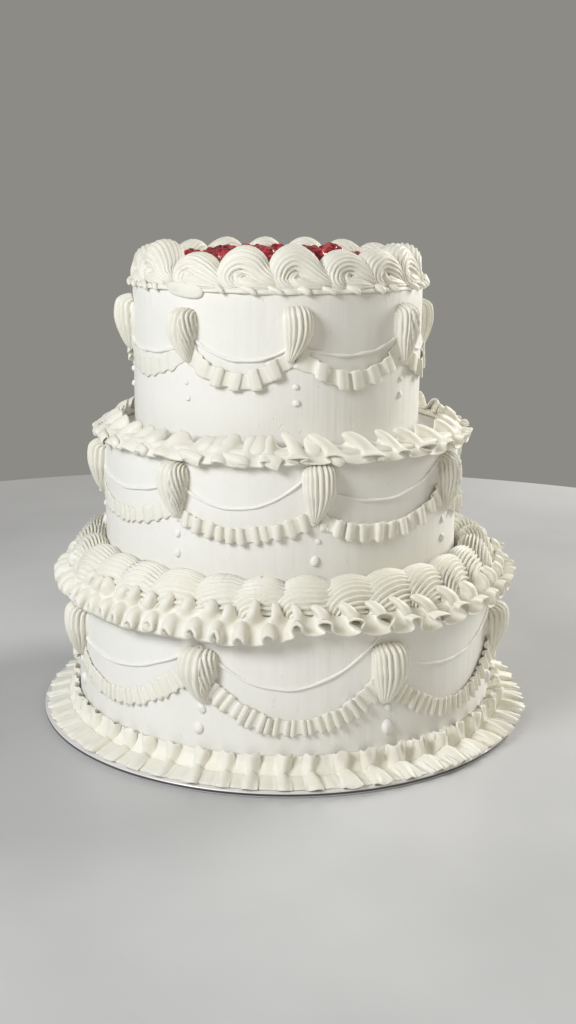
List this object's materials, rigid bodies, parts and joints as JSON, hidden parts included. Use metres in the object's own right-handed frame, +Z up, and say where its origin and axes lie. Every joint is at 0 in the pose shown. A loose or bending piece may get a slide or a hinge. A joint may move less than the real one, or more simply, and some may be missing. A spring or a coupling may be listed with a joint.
{
  "type": "tiered wedding cake",
  "caption": "Tiered round wedding cake with smooth white icing, piped shells, ruffles, string swags and swirls, and red berries on top, on a thin round foil board.",
  "frame": {"origin": "centre of the cake board's underside, on the surface that the cake stands on", "axes": "+Z up, -Y is the front of the cake, +X is to the right seen from the front"},
  "size_m": [0.3556, 0.3556, 0.3371],
  "materials": {
    "smooth_icing": "smooth off-white buttercream, spread with a scraper: satin, with faint upright streaks and tiny pits",
    "piped_icing": "piped ivory-white buttercream, soft satin sheen, fine ridges from a star or petal tip",
    "red_berries": "deep red wet glossy berries with a clear glaze",
    "foil_board": "silver foil over card, satin mirror with faint crinkles"
  },
  "bodies": {
    "root": {"cake_board": "foil_board", "tier_bottom": "smooth_icing", "tier_middle": "smooth_icing", "tier_top": "smooth_icing", "ruffle_swags_bottom": "piped_icing", "ruffle_swags_middle": "piped_icing", "ruffle_swags_top": "piped_icing", "drop_shell_bottom_1": "piped_icing", "drop_shell_bottom_2": "piped_icing", "drop_shell_bottom_3": "piped_icing", "drop_shell_bottom_4": "piped_icing", "drop_shell_bottom_5": "piped_icing", "drop_shell_bottom_6": "piped_icing", "drop_shell_bottom_7": "piped_icing", "drop_shell_bottom_8": "piped_icing", "drop_shell_middle_1": "piped_icing", "drop_shell_middle_2": "piped_icing", "drop_shell_middle_3": "piped_icing", "drop_shell_middle_4": "piped_icing", "drop_shell_middle_5": "piped_icing", "drop_shell_middle_6": "piped_icing", "drop_shell_middle_7": "piped_icing", "drop_shell_middle_8": "piped_icing", "drop_shell_top_1": "piped_icing", "drop_shell_top_2": "piped_icing", "drop_shell_top_3": "piped_icing", "drop_shell_top_4": "piped_icing", "drop_shell_top_5": "piped_icing", "drop_shell_top_6": "piped_icing", "drop_shell_top_7": "piped_icing", "drop_shell_top_8": "piped_icing", "base_ruffle": "piped_icing", "bottom_tier_ruffle": "piped_icing", "shell_border": "piped_icing", "middle_tier_ruffle": "piped_icing", "top_skirt_ruffle": "piped_icing", "top_swirl_1": "piped_icing", "top_swirl_2": "piped_icing", "top_swirl_3": "piped_icing", "top_swirl_4": "piped_icing", "top_swirl_5": "piped_icing", "top_swirl_6": "piped_icing", "top_swirl_7": "piped_icing", "top_swirl_8": "piped_icing", "top_swirl_9": "piped_icing", "top_swirl_10": "piped_icing", "top_swirl_11": "piped_icing", "top_swirl_12": "piped_icing", "top_swirl_13": "piped_icing", "top_swirl_14": "piped_icing", "top_swirl_15": "piped_icing", "top_swirl_16": "piped_icing", "top_swirl_17": "piped_icing", "top_swirl_18": "piped_icing", "berry_heap": "red_berries"}
  },
  "joints": []
}
